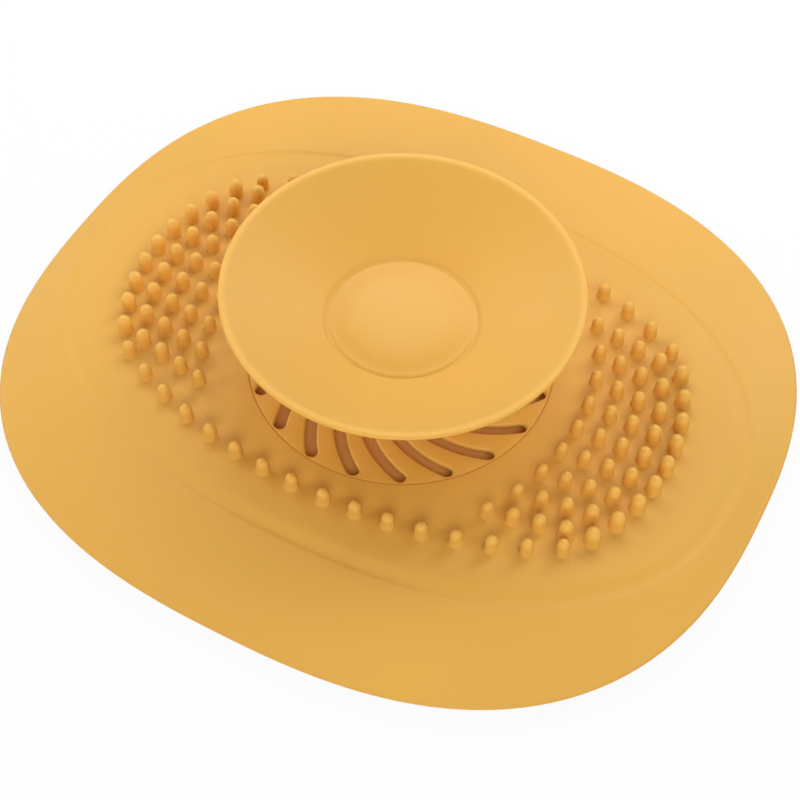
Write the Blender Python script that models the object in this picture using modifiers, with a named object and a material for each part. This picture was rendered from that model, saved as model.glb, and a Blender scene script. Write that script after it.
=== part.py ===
# Bathtub drain stopper with a hair-catching mat.
#
# A soft mat lies round the drain. Its nubs catch hair before the water reaches the slotted
# strainer plate, whose edge is held in a groove of the mat. A cup on a stem stands above the
# plate. Pressing the cup down puts the stopper disc under the plate onto the drain, and pulling
# it up by the rim lets the water out again.
#
# Metres, +Z up. The origin is the middle of the mat, on the surface it stands on. +X runs along
# the longer side of the mat. The stem's axis is the Z axis, and the cup is modelled pulled up.

import math

import bmesh
import bpy

MM = 0.001

# Fits
GAP = 0.3 * MM                  # clearance between touching pieces
SINK = 0.5 * MM                 # how deep a nub's foot reaches into the mat before it is joined

# Strainer plate
PLATE_HEIGHT = 5.0 * MM         # top of the plate's edge above the standing surface
PLATE_LAND_RADIUS = 29.8 * MM   # edge of the plate as seen from above
PLATE_THICKNESS = 1.2 * MM
PLATE_DISH = 1.0 * MM           # how far the plate falls from its land to the hub
LAND_WIDTH = 0.4 * MM           # level rim outside the dished part
FLANGE_WIDTH = 2.9 * MM         # hidden flange that sits in the mat's groove
FLANGE_THICKNESS = 1.15 * MM
HUB_FLAT_RADIUS = 11.0 * MM     # level middle of the plate
BOSS_WALL = 2.8 * MM            # wall of the boss round the bush
BOSS_HEIGHT = 2.5 * MM          # height of the boss above the level middle

# Slots of the strainer plate
SLOT_COUNT = 20
SLOT_WIDTH = 2.2 * MM
SLOT_RIM = 0.3 * MM             # plate left outside a slot's outer end
SLOT_INNER_RADIUS = 15.5 * MM   # middle of a slot's inner round end
SLOT_SWEEP = math.radians(2.1)  # turn of a slot for each millimetre towards the hub
SLOT_FIRST_ANGLE = math.radians(9.7)
SLOT_LINE_POINTS = 6
SLOT_END_POINTS = 4

# Stem, bush and the screw under them
STEM_RADIUS = 3.0 * MM
STEM_HEAD_RADIUS = 7.0 * MM
STEM_HEAD_THICKNESS = 0.8 * MM
STEM_SOCKET_RADIUS = 1.8 * MM   # socket in the stem's top for the cap's peg
STEM_SOCKET_DEPTH = 4.4 * MM
BUSH_WALL = 1.6 * MM
BUSH_COLLAR_WIDTH = 1.6 * MM
BUSH_COLLAR_THICKNESS = 0.7 * MM
SCREW_RADIUS = 1.1 * MM
SCREW_LENGTH = 6.0 * MM         # length of the shank above the head
SCREW_HEAD_RADIUS = 3.2 * MM
SCREW_HEAD_HEIGHT = 1.0 * MM
SCREW_RECESS_LENGTH = 3.0 * MM
SCREW_RECESS_WIDTH = 0.7 * MM
SCREW_RECESS_DEPTH = 0.6 * MM
PILOT_SPARE = 0.6 * MM          # free depth past the screw's tip

# Stopper disc under the plate
DISC_INSET = 3.3 * MM           # how far the disc's edge stands back from the plate's
DISC_THICKNESS = 1.1 * MM
DISC_LIP_DROP = 0.9 * MM        # sealing lip below the disc's rim
DISC_LIP_WIDTH = 1.6 * MM       # lip inside the disc's edge
DISC_LIP_REACH = 2.0 * MM       # how far the lip flares out past the disc's edge
DISC_LIP_EDGE = 0.4 * MM
DISC_HUB_RADIUS = 6.0 * MM
DISC_SEAT_THICKNESS = 0.9 * MM  # material between the stem's end and the screw's head
DISC_HUB_SKIRT = 1.3 * MM       # ring round the screw's head

# Lift cup and its cap
TRAVEL = 5.0 * MM               # how far the cup is pressed down
STOP_CLEARANCE = 0.7 * MM       # left between cup and bush when it is pressed down
CUP_RIM_RADIUS = 34.0 * MM
CUP_DEPTH = 9.15 * MM           # from the rim's top down to the cap's edge
CUP_WALL = 2.0 * MM             # wall near the cap, measured upright
CUP_RIM_WALL = 1.2 * MM         # wall at the rim
CUP_LIP_WIDTH = 1.0 * MM        # narrow level lip on top of the rim
CUP_LIP_RISE = 0.25 * MM
CUP_FLOOR = 1.4 * MM
CUP_FOOT_RADIUS = 9.0 * MM
CUP_FOOT_ROUND = 0.6 * MM
CAP_RADIUS = 14.05 * MM
CAP_EDGE = 0.9 * MM
CAP_CROWN = 0.9 * MM            # how far the middle of the cap stands above its edge
CAP_EDGE_ROUND = 0.35 * MM
CAP_PEG_LENGTH = 4.0 * MM

# Mat
MAT_HALF_LENGTH = 74.7 * MM
MAT_HALF_WIDTH = 67.4 * MM
MAT_CORNER_POWER = 2.54         # 2 is an ellipse, more makes squarer corners
MAT_THICKNESS = 1.9 * MM
MAT_EDGE_DROP = 2.0 * MM        # how far the mat's edge lies below the plate's top
MAT_EDGE_THICKNESS = 0.8 * MM
MAT_EDGE_ROUND = 0.3 * MM
MAT_RIM_BAND = 4.0 * MM         # level band under the mat's edge
LIP_THICKNESS = 0.5 * MM        # lip over the plate's flange
LIP_RISE = 0.15 * MM            # top of the lip above the plate's land
LIP_ROUND = 0.25 * MM
BEAD_WALL = 2.0 * MM            # wall of the bead outside the groove
BEAD_INNER_STEP = 0.5 * MM      # how far the bead's inner wall stands back from the lip
BEAD_ROUND = 0.4 * MM
PAD_RISE = 0.05 * MM            # pad above the lip
PAD_HALF_LENGTH = 66.8 * MM     # crease round the raised pad
PAD_HALF_WIDTH = 44.4 * MM
PAD_CORNER_POWER = 2.3
PAD_STEP = 0.35 * MM            # drop of the surface at the crease
PAD_STEP_WIDTH = 1.5 * MM

# Nubs
NUB_RADIUS = 1.25 * MM          # nubs of the first columns, which are the smallest
NUB_HEIGHT = 3.9 * MM
NUB_TAPER = 0.06                # share of its radius that a nub loses from foot to shoulder
NUB_CROWN = 1.0 * MM            # height of the round tip
NUB_GROWTH = 0.045              # share by which each further column's nubs are larger
FIELD_COLUMNS = 5
FIELD_ROWS = 9
FIELD_FIRST_COLUMN = 38.0 * MM  # distance of the first column from the stem's axis
FIELD_COLUMN_PITCH = 4.42 * MM
FIELD_BOW = 42.5 * MM           # half width of the oval that the first column follows
FIELD_BOW_STEP = 1.1 * MM
FIELD_ROW_PITCH = 6.15 * MM
FIELD_ROW_PITCH_STEP = 0.23 * MM
ROW_NUBS = 16
ROW_NUB_PITCH = 6.38 * MM
ROW_HALF_LENGTH = 63.7 * MM     # oval that the single rows follow
ROW_HALF_WIDTH = 36.9 * MM
ROW_SIZE_COLUMN = 3             # the rows' nubs are as large as this column's, counted from 0

# Fineness of the round shapes
MAT_SIDES = 72
PLATE_SIDES = 60
CUP_SIDES = 60
SMALL_SIDES = 24
NUB_SIDES = 8
CROWN_STEPS = 2
ARC_STEP = 0.002                # step, in radians, when measuring along an oval

# Heights and radii that follow from the sizes above
HUB_TOP = PLATE_HEIGHT - PLATE_DISH
HUB_BOTTOM = HUB_TOP - PLATE_THICKNESS
BOSS_TOP = HUB_TOP + BOSS_HEIGHT
BUSH_INNER_RADIUS = STEM_RADIUS + GAP
BUSH_OUTER_RADIUS = BUSH_INNER_RADIUS + BUSH_WALL
HUB_BORE_RADIUS = BUSH_OUTER_RADIUS + GAP
BOSS_RADIUS = HUB_BORE_RADIUS + BOSS_WALL
BUSH_TOP = BOSS_TOP + GAP + BUSH_COLLAR_THICKNESS
CUP_BOTTOM = BUSH_TOP + STOP_CLEARANCE + TRAVEL
CUP_RECESS_FLOOR = CUP_BOTTOM + CUP_FLOOR
STEM_HEAD_BOTTOM = CUP_RECESS_FLOOR + GAP
STEM_TOP = STEM_HEAD_BOTTOM + STEM_HEAD_THICKNESS
CAP_BOTTOM = STEM_TOP + GAP
CAP_EDGE_TOP = CAP_BOTTOM + CAP_EDGE
RIM_TOP = CAP_EDGE_TOP + CUP_DEPTH
STEM_BOTTOM = HUB_BOTTOM
DISC_RADIUS = PLATE_LAND_RADIUS - DISC_INSET
DISC_TOP = STEM_BOTTOM - GAP
SCREW_HEAD_TOP = DISC_TOP - DISC_SEAT_THICKNESS - GAP
LIP_TOP = PLATE_HEIGHT + LIP_RISE
LIP_BOTTOM = LIP_TOP - LIP_THICKNESS
FLANGE_TOP = LIP_BOTTOM - GAP
FLANGE_BOTTOM = FLANGE_TOP - FLANGE_THICKNESS
FLANGE_RADIUS = PLATE_LAND_RADIUS + FLANGE_WIDTH
LIP_RADIUS = PLATE_LAND_RADIUS + GAP
GROOVE_RADIUS = FLANGE_RADIUS + GAP
GROOVE_BOTTOM = FLANGE_BOTTOM - GAP
PAD_TOP = LIP_TOP + PAD_RISE
MAT_EDGE_TOP = PLATE_HEIGHT - MAT_EDGE_DROP
MAT_EDGE_BOTTOM = MAT_EDGE_TOP - MAT_EDGE_THICKNESS


def clear_scene():
    for item in list(bpy.data.objects):
        bpy.data.objects.remove(item)


def new_collection(name):
    collection = bpy.data.collections.new(name)
    bpy.context.scene.collection.children.link(collection)
    return collection


def new_material(name, colour, roughness, metallic=0.0):
    made = bpy.data.materials.new(name)
    made.use_nodes = True
    shader = made.node_tree.nodes["Principled BSDF"]
    shader.inputs["Base Color"].default_value = (*colour, 1.0)
    shader.inputs["Roughness"].default_value = roughness
    shader.inputs["Metallic"].default_value = metallic
    return made


def new_object(name, mesh, collection, made=None, height=0.0, carrier=None):
    item = bpy.data.objects.new(name, mesh)
    item.location.z = height
    if made is not None:
        mesh.materials.append(made)
    collection.objects.link(item)
    if carrier is not None:
        item.parent = carrier
    return item


def shade_round(mesh):
    mesh.shade_smooth()
    mesh.set_sharp_from_angle(angle=math.radians(35))


def profile_mesh(name, points, closed):
    """A mesh of one profile line in the XZ plane, at +X of the axis."""
    bm = bmesh.new()
    verts = [bm.verts.new((radius, 0.0, height)) for radius, height in points]
    for first, second in zip(verts, verts[1:]):
        bm.edges.new((first, second))
    if closed:
        bm.edges.new((verts[-1], verts[0]))
    mesh = bpy.data.meshes.new(name)
    bm.to_mesh(mesh)
    bm.free()
    return mesh


def turned(name, points, sides, collection, made=None, height=0.0, closed=False, carrier=None):
    """Turns a profile, listed from the top down its outer side, about the Z axis."""
    local = [(radius, top - height) for radius, top in points]
    mesh = profile_mesh(name, local, closed)
    item = new_object(name, mesh, collection, made, height, carrier)
    screw = item.modifiers.new("Turn", "SCREW")
    screw.axis = "Z"
    screw.steps = sides
    screw.render_steps = sides
    screw.use_merge_vertices = True
    screw.merge_threshold = 0.00001
    screw.use_smooth_shade = True
    return item


def fix_mesh(item, collection_of_item):
    """Turns an object's modifiers into its own mesh, so that it can be cut or joined."""
    graph = bpy.context.evaluated_depsgraph_get()
    mesh = bpy.data.meshes.new_from_object(item.evaluated_get(graph))
    name = item.name
    height = item.location.z
    carrier = item.parent
    bpy.data.objects.remove(item)
    shade_round(mesh)
    return new_object(name, mesh, collection_of_item, None, height, carrier)


def as_cutter(item):
    item.hide_render = True
    item.display_type = "WIRE"
    return item


def add_boolean(item, other, operation):
    modifier = item.modifiers.new(operation.title(), "BOOLEAN")
    modifier.operation = operation
    modifier.solver = "EXACT"
    modifier.object = other


def plate_top(radius):
    """Height of the plate's dished top at a distance from the axis."""
    outer = PLATE_LAND_RADIUS - LAND_WIDTH
    share = (radius - HUB_FLAT_RADIUS) / (outer - HUB_FLAT_RADIUS)
    return HUB_TOP + PLATE_DISH * min(max(share, 0.0), 1.0)


def oval_radius(angle, half_length, half_width, power):
    """Distance from the middle to a rounded-square or oval outline, in one direction."""
    along = abs(math.cos(angle) / half_length) ** power
    across = abs(math.sin(angle) / half_width) ** power
    return (along + across) ** (-1.0 / power)


def mat_rings():
    """The mat's section as rings: half length, half width, corner power and height.

    They run from the lip outwards over the top, round the edge, back under the mat, down and
    up the bead that the mat stands on, and through the groove for the plate's flange.
    """
    def circle(radius, height):
        return radius, radius, 2.0, height

    def pad(grow, height):
        return PAD_HALF_LENGTH + grow, PAD_HALF_WIDTH + grow, PAD_CORNER_POWER, height

    def outline(inset, height):
        return MAT_HALF_LENGTH - inset, MAT_HALF_WIDTH - inset, MAT_CORNER_POWER, height

    bead_radius = GROOVE_RADIUS + BEAD_WALL
    bead_inner = LIP_RADIUS + BEAD_INNER_STEP
    edge_middle = 0.5 * (MAT_EDGE_TOP + MAT_EDGE_BOTTOM)
    return [
        circle(LIP_RADIUS, LIP_BOTTOM),
        circle(LIP_RADIUS, LIP_TOP - LIP_ROUND),
        circle(LIP_RADIUS + LIP_ROUND, LIP_TOP),
        circle(bead_radius, PAD_TOP),
        pad(-PAD_STEP_WIDTH, PAD_TOP),
        pad(0.0, PAD_TOP - 0.5 * PAD_STEP),
        pad(PAD_STEP_WIDTH, PAD_TOP - PAD_STEP),
        outline(2.0 * MAT_EDGE_ROUND, MAT_EDGE_TOP),
        outline(0.0, edge_middle + 0.5 * MAT_EDGE_ROUND),
        outline(0.0, edge_middle - 0.5 * MAT_EDGE_ROUND),
        outline(MAT_EDGE_ROUND, MAT_EDGE_BOTTOM),
        outline(MAT_RIM_BAND, MAT_EDGE_BOTTOM),
        pad(PAD_STEP_WIDTH, PAD_TOP - PAD_STEP - MAT_THICKNESS),
        circle(bead_radius + BEAD_ROUND, PAD_TOP - MAT_THICKNESS),
        circle(bead_radius, PAD_TOP - MAT_THICKNESS - BEAD_ROUND),
        circle(bead_radius, BEAD_ROUND),
        circle(bead_radius - BEAD_ROUND, 0.0),
        circle(bead_inner + BEAD_ROUND, 0.0),
        circle(bead_inner, BEAD_ROUND),
        circle(bead_inner, GROOVE_BOTTOM),
        circle(GROOVE_RADIUS, GROOVE_BOTTOM),
        circle(GROOVE_RADIUS, LIP_BOTTOM),
    ]


def loft_mat():
    """Joins the mat's rings, whose outlines differ, into one closed skin."""
    bm = bmesh.new()
    rings = []
    for half_length, half_width, power, height in mat_rings():
        ring = []
        for index in range(MAT_SIDES):
            angle = 2.0 * math.pi * index / MAT_SIDES
            radius = oval_radius(angle, half_length, half_width, power)
            ring.append(bm.verts.new((radius * math.cos(angle), radius * math.sin(angle), height)))
        rings.append(ring)
    for inner, outer in zip(rings, rings[1:] + rings[:1]):
        for index in range(MAT_SIDES):
            following = (index + 1) % MAT_SIDES
            bm.faces.new((inner[index], outer[index], outer[following], inner[following]))
    bmesh.ops.recalc_face_normals(bm, faces=bm.faces)
    mesh = bpy.data.meshes.new("mat")
    bm.to_mesh(mesh)
    bm.free()
    return mesh


def nub_size(column):
    return 1.0 + NUB_GROWTH * column


def field_places():
    """Places and sizes of the two fields' nubs: bowed columns, symmetric about both axes."""
    half_rows = FIELD_ROWS // 2
    places = []
    for column in range(FIELD_COLUMNS):
        reach = FIELD_FIRST_COLUMN + column * FIELD_COLUMN_PITCH
        bow = FIELD_BOW + column * FIELD_BOW_STEP
        pitch = FIELD_ROW_PITCH - column * FIELD_ROW_PITCH_STEP
        for row in range(-half_rows, half_rows + 1):
            across = row * pitch
            along = reach * math.sqrt(1.0 - (across / bow) ** 2)
            places.append((along, across, nub_size(column)))
            places.append((-along, across, nub_size(column)))
    return places


def row_places():
    """Places and sizes of the front and back rows' nubs: equal steps along an oval."""
    wanted = [(index + 0.5) * ROW_NUB_PITCH for index in range(ROW_NUBS // 2)]
    places = []
    angle = 0.0
    run = 0.0
    for distance in wanted:
        while run < distance:
            angle += ARC_STEP
            run += ARC_STEP * math.hypot(ROW_HALF_LENGTH * math.cos(angle), ROW_HALF_WIDTH * math.sin(angle))
        along = ROW_HALF_LENGTH * math.sin(angle)
        across = ROW_HALF_WIDTH * math.cos(angle)
        for side in (-1.0, 1.0):
            places.append((side * along, across, nub_size(ROW_SIZE_COLUMN)))
            places.append((side * along, -across, nub_size(ROW_SIZE_COLUMN)))
    return places


def nub_mesh(places):
    """All nubs as separate closed shapes: a slightly tapered peg with a round tip."""
    bm = bmesh.new()
    for along, across, size in places:
        foot = PAD_TOP - SINK
        shoulder = PAD_TOP + size * (NUB_HEIGHT - NUB_CROWN)
        made = bmesh.ops.create_cone(
            bm, cap_ends=True, segments=NUB_SIDES, radius1=size * NUB_RADIUS,
            radius2=size * NUB_RADIUS * (1.0 - NUB_TAPER), depth=shoulder - foot)
        bmesh.ops.translate(bm, verts=made["verts"], vec=(along, across, 0.5 * (foot + shoulder)))
        bm.normal_update()
        tip = next(face for face in made["verts"][-1].link_faces if face.normal.z > 0.99)
        middle = tip.calc_center_median()
        spokes = [vert.co - middle for vert in tip.verts]
        for step in range(1, CROWN_STEPS + 1):
            tip = bmesh.ops.extrude_discrete_faces(bm, faces=[tip])["faces"][0]
            turn = 0.5 * math.pi * step / (CROWN_STEPS + 0.5)
            for vert, spoke in zip(tip.verts, spokes):
                vert.co = middle + spoke * math.cos(turn)
                vert.co.z = shoulder + size * NUB_CROWN * math.sin(turn)
    mesh = bpy.data.meshes.new("nub_shapes")
    bm.to_mesh(mesh)
    bm.free()
    return mesh


def build_mat(parts, helpers, made):
    mat = new_object("mat", loft_mat(), parts, made)
    shade_round(mat.data)
    nubs = as_cutter(new_object("nub_shapes", nub_mesh(field_places() + row_places()), helpers))
    add_boolean(mat, nubs, "UNION")


def slot_outline(first_angle):
    """One curved slot seen from above: two sides along a spiral and two round ends."""
    outer_radius = PLATE_LAND_RADIUS - LAND_WIDTH - SLOT_RIM - 0.5 * SLOT_WIDTH
    half = 0.5 * SLOT_WIDTH
    line = []
    for index in range(SLOT_LINE_POINTS):
        share = index / (SLOT_LINE_POINTS - 1)
        radius = outer_radius + (SLOT_INNER_RADIUS - outer_radius) * share
        angle = first_angle - SLOT_SWEEP * (outer_radius - radius) / MM
        line.append((radius * math.cos(angle), radius * math.sin(angle)))
    headings = []
    for index in range(SLOT_LINE_POINTS):
        before = line[max(index - 1, 0)]
        after = line[min(index + 1, SLOT_LINE_POINTS - 1)]
        headings.append(math.atan2(after[1] - before[1], after[0] - before[0]))

    def beside(index, turn):
        direction = headings[index] + turn
        return line[index][0] + half * math.cos(direction), line[index][1] + half * math.sin(direction)

    quarter = 0.5 * math.pi
    points = [beside(index, quarter) for index in range(SLOT_LINE_POINTS)]
    for step in range(1, SLOT_END_POINTS):
        points.append(beside(SLOT_LINE_POINTS - 1, quarter - math.pi * step / SLOT_END_POINTS))
    points += [beside(index, -quarter) for index in reversed(range(SLOT_LINE_POINTS))]
    for step in range(1, SLOT_END_POINTS):
        points.append(beside(0, -quarter - math.pi * step / SLOT_END_POINTS))
    return points


def slot_cutters(helpers):
    """All slots as upright prisms that pass right through the plate."""
    low = HUB_BOTTOM - PLATE_THICKNESS
    rise = PLATE_HEIGHT + PLATE_THICKNESS - low
    bm = bmesh.new()
    for index in range(SLOT_COUNT):
        outline = slot_outline(SLOT_FIRST_ANGLE + 2.0 * math.pi * index / SLOT_COUNT)
        face = bm.faces.new([bm.verts.new((x, y, low)) for x, y in outline])
        raised = bmesh.ops.extrude_face_region(bm, geom=[face])["geom"]
        lifted = [element for element in raised if isinstance(element, bmesh.types.BMVert)]
        bmesh.ops.translate(bm, verts=lifted, vec=(0.0, 0.0, rise))
    bmesh.ops.recalc_face_normals(bm, faces=bm.faces)
    mesh = bpy.data.meshes.new("slot_shapes")
    bm.to_mesh(mesh)
    bm.free()
    return as_cutter(new_object("slot_shapes", mesh, helpers))


def build_strainer_plate(parts, helpers, made):
    dish_radius = PLATE_LAND_RADIUS - LAND_WIDTH
    profile = [
        (HUB_BORE_RADIUS, BOSS_TOP),
        (BOSS_RADIUS, BOSS_TOP),
        (BOSS_RADIUS, HUB_TOP),
        (HUB_FLAT_RADIUS, HUB_TOP),
        (dish_radius, PLATE_HEIGHT),
        (PLATE_LAND_RADIUS, PLATE_HEIGHT),
        (PLATE_LAND_RADIUS, FLANGE_TOP),
        (FLANGE_RADIUS, FLANGE_TOP),
        (FLANGE_RADIUS, FLANGE_BOTTOM),
        (dish_radius, FLANGE_BOTTOM),
        (dish_radius - PLATE_THICKNESS, plate_top(dish_radius - PLATE_THICKNESS) - PLATE_THICKNESS),
        (HUB_FLAT_RADIUS, HUB_BOTTOM),
        (HUB_BORE_RADIUS, HUB_BOTTOM),
    ]
    blank = turned("strainer_plate", profile, PLATE_SIDES, parts, made, closed=True)
    plate = fix_mesh(blank, parts)
    add_boolean(plate, slot_cutters(helpers), "DIFFERENCE")


def build_stem_bush(parts, made):
    profile = [
        (BUSH_INNER_RADIUS, BUSH_TOP),
        (BUSH_OUTER_RADIUS + BUSH_COLLAR_WIDTH, BUSH_TOP),
        (BUSH_OUTER_RADIUS + BUSH_COLLAR_WIDTH, BUSH_TOP - BUSH_COLLAR_THICKNESS),
        (BUSH_OUTER_RADIUS, BUSH_TOP - BUSH_COLLAR_THICKNESS),
        (BUSH_OUTER_RADIUS, HUB_BOTTOM),
        (BUSH_INNER_RADIUS, HUB_BOTTOM),
    ]
    turned("stem_bush", profile, SMALL_SIDES, parts, made, height=BUSH_TOP, closed=True)


def build_stem(parts, carrier, made):
    pilot_radius = SCREW_RADIUS + GAP
    pilot_top = SCREW_HEAD_TOP + SCREW_LENGTH + PILOT_SPARE
    profile = [
        (0.0, STEM_TOP - STEM_SOCKET_DEPTH),
        (STEM_SOCKET_RADIUS, STEM_TOP - STEM_SOCKET_DEPTH),
        (STEM_SOCKET_RADIUS, STEM_TOP),
        (STEM_HEAD_RADIUS, STEM_TOP),
        (STEM_HEAD_RADIUS, STEM_HEAD_BOTTOM),
        (STEM_RADIUS, STEM_HEAD_BOTTOM),
        (STEM_RADIUS, STEM_BOTTOM),
        (pilot_radius, STEM_BOTTOM),
        (pilot_radius, pilot_top),
        (0.0, pilot_top),
    ]
    turned("stem", profile, SMALL_SIDES, parts, made, height=STEM_TOP, carrier=carrier)


def build_lift_cup(parts, carrier, made):
    recess_radius = CAP_RADIUS + GAP
    lip_inner = CUP_RIM_RADIUS - CUP_LIP_WIDTH
    dish_rim = RIM_TOP - CUP_LIP_RISE
    edge_round = 0.5 * CUP_LIP_RISE
    foot_outer = CUP_FOOT_RADIUS + CUP_FOOT_ROUND
    profile = [
        (STEM_RADIUS + GAP, CUP_RECESS_FLOOR),
        (recess_radius, CUP_RECESS_FLOOR),
        (recess_radius, CAP_EDGE_TOP - edge_round),
        (recess_radius + edge_round, CAP_EDGE_TOP),
        (lip_inner - edge_round, dish_rim),
        (lip_inner + edge_round, RIM_TOP),
        (CUP_RIM_RADIUS - CUP_LIP_RISE, RIM_TOP),
        (CUP_RIM_RADIUS, dish_rim),
        (CUP_RIM_RADIUS, RIM_TOP - CUP_RIM_WALL),
        (lip_inner, dish_rim - CUP_RIM_WALL),
        (recess_radius, CAP_EDGE_TOP - CUP_WALL),
        (foot_outer, CUP_BOTTOM + CUP_FOOT_ROUND),
        (CUP_FOOT_RADIUS, CUP_BOTTOM),
        (STEM_RADIUS + GAP, CUP_BOTTOM),
    ]
    turned("lift_cup", profile, CUP_SIDES, parts, made, height=CUP_BOTTOM, closed=True, carrier=carrier)


def build_cup_cap(parts, carrier, made):
    peg_radius = STEM_SOCKET_RADIUS - GAP
    dome_steps = 5
    dome_edge = CAP_RADIUS - CAP_EDGE_ROUND
    profile = []
    for index in range(dome_steps):
        share = index / dome_steps
        profile.append((dome_edge * share, CAP_EDGE_TOP + CAP_CROWN * (1.0 - share ** 2)))
    profile += [
        (dome_edge, CAP_EDGE_TOP),
        (CAP_RADIUS, CAP_EDGE_TOP - CAP_EDGE_ROUND),
        (CAP_RADIUS, CAP_BOTTOM),
        (peg_radius, CAP_BOTTOM),
        (peg_radius, CAP_BOTTOM - CAP_PEG_LENGTH),
        (0.0, CAP_BOTTOM - CAP_PEG_LENGTH),
    ]
    turned("cup_cap", profile, CUP_SIDES, parts, made, height=CAP_BOTTOM, carrier=carrier)


def build_stopper_disc(parts, carrier, made):
    def top_at(radius):
        return plate_top(radius) - PLATE_THICKNESS - GAP

    bore_radius = SCREW_RADIUS + GAP
    pocket_radius = SCREW_HEAD_RADIUS + GAP
    pocket_top = SCREW_HEAD_TOP + GAP
    hub_bottom = pocket_top - DISC_HUB_SKIRT
    lip_inner = DISC_RADIUS - DISC_LIP_WIDTH
    lip_outer = DISC_RADIUS + DISC_LIP_REACH
    rim_bottom = top_at(DISC_RADIUS) - DISC_THICKNESS
    lip_bottom = rim_bottom - DISC_LIP_DROP
    profile = [
        (bore_radius, DISC_TOP),
        (HUB_FLAT_RADIUS, DISC_TOP),
        (DISC_RADIUS, top_at(DISC_RADIUS)),
        (DISC_RADIUS, rim_bottom),
        (lip_outer, lip_bottom + DISC_LIP_EDGE),
        (lip_outer, lip_bottom),
        (lip_inner, lip_bottom),
        (lip_inner, top_at(lip_inner) - DISC_THICKNESS),
        (HUB_FLAT_RADIUS, DISC_TOP - DISC_THICKNESS),
        (DISC_HUB_RADIUS, DISC_TOP - DISC_THICKNESS),
        (DISC_HUB_RADIUS, hub_bottom),
        (pocket_radius, hub_bottom),
        (pocket_radius, pocket_top),
        (bore_radius, pocket_top),
    ]
    turned("stopper_disc", profile, CUP_SIDES, parts, made, height=DISC_TOP, closed=True, carrier=carrier)


def build_stem_screw(parts, helpers, carrier, made):
    tip = SCREW_HEAD_TOP + SCREW_LENGTH
    head_bottom = SCREW_HEAD_TOP - SCREW_HEAD_HEIGHT
    profile = [
        (0.0, tip),
        (SCREW_RADIUS, tip - SCREW_RADIUS),
        (SCREW_RADIUS, SCREW_HEAD_TOP),
        (SCREW_HEAD_RADIUS, SCREW_HEAD_TOP),
        (SCREW_HEAD_RADIUS, SCREW_HEAD_TOP - 0.5 * SCREW_HEAD_HEIGHT),
        (0.8 * SCREW_HEAD_RADIUS, head_bottom),
        (0.0, head_bottom),
    ]
    blank = turned("stem_screw", profile, SMALL_SIDES, parts, made, height=SCREW_HEAD_TOP, carrier=carrier)
    screw = fix_mesh(blank, parts)
    for index in range(2):
        bm = bmesh.new()
        bmesh.ops.create_cube(bm, size=1.0)
        size = [SCREW_RECESS_LENGTH, SCREW_RECESS_WIDTH, 2.0 * SCREW_RECESS_DEPTH]
        if index == 1:
            size[0], size[1] = size[1], size[0]
        bmesh.ops.scale(bm, verts=bm.verts, vec=size)
        mesh = bpy.data.meshes.new("recess_bar")
        bm.to_mesh(mesh)
        bm.free()
        bar = as_cutter(new_object("recess_bar", mesh, helpers, height=head_bottom, carrier=carrier))
        add_boolean(screw, bar, "DIFFERENCE")


def main():
    clear_scene()
    parts = new_collection("drain_stopper")
    helpers = new_collection("drain_stopper_cutters")
    silicone = new_material("yellow_silicone", (0.80, 0.42, 0.10), 0.55)
    brown_silicone = new_material("brown_silicone", (0.60, 0.30, 0.08), 0.55)
    plastic = new_material("yellow_plastic", (0.76, 0.38, 0.09), 0.45)
    steel = new_material("stainless_steel", (0.62, 0.61, 0.59), 0.30, 1.0)

    lift = bpy.data.objects.new("lift_slide", None)
    parts.objects.link(lift)

    build_mat(parts, helpers, silicone)
    build_strainer_plate(parts, helpers, plastic)
    build_stem_bush(parts, silicone)
    build_stem(parts, lift, plastic)
    build_lift_cup(parts, lift, silicone)
    build_cup_cap(parts, lift, plastic)
    build_stopper_disc(parts, lift, brown_silicone)
    build_stem_screw(parts, helpers, lift, steel)


main()
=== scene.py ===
# Looks of the bathtub drain stopper: a soft mat with nubs, a slotted strainer plate in its
# middle, and a lift cup on a stem above the plate.
#
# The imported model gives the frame, and its nodes' boxes give the main sizes. Each sub-part but
# the screw is modelled again here with rounded edges and smooth curves, and rides on the body
# of the node that it stands for. The screw keeps its own node and gets a better material. All
# sizes are in metres, with +Z up and the stem's axis on the Z axis.

import math

import bmesh
import bpy
from mathutils import Matrix, Vector


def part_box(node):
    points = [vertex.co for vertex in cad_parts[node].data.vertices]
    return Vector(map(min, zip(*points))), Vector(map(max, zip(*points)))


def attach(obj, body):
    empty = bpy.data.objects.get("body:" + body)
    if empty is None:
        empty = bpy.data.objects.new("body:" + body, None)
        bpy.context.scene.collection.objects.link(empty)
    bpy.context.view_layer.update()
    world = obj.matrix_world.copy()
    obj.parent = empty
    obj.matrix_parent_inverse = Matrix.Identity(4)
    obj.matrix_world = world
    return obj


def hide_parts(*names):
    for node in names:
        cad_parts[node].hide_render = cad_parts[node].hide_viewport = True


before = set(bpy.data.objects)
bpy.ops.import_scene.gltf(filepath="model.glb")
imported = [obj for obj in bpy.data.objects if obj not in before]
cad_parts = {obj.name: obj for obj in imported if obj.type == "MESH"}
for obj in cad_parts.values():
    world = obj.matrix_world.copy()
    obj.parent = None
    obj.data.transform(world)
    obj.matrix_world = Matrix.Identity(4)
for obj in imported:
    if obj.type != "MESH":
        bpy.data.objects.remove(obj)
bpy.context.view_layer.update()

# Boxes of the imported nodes, which give the main sizes and heights below
mat_low, mat_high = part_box("mat")
plate_low, plate_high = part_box("strainer_plate")
bush_low, bush_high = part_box("stem_bush")
stem_low, stem_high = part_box("stem")
cup_low, cup_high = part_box("lift_cup")
disc_low, disc_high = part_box("stopper_disc")

MM = 0.001
QUARTER_TURN = 0.5 * math.pi
FULL_TURN = 2.0 * math.pi

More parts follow.
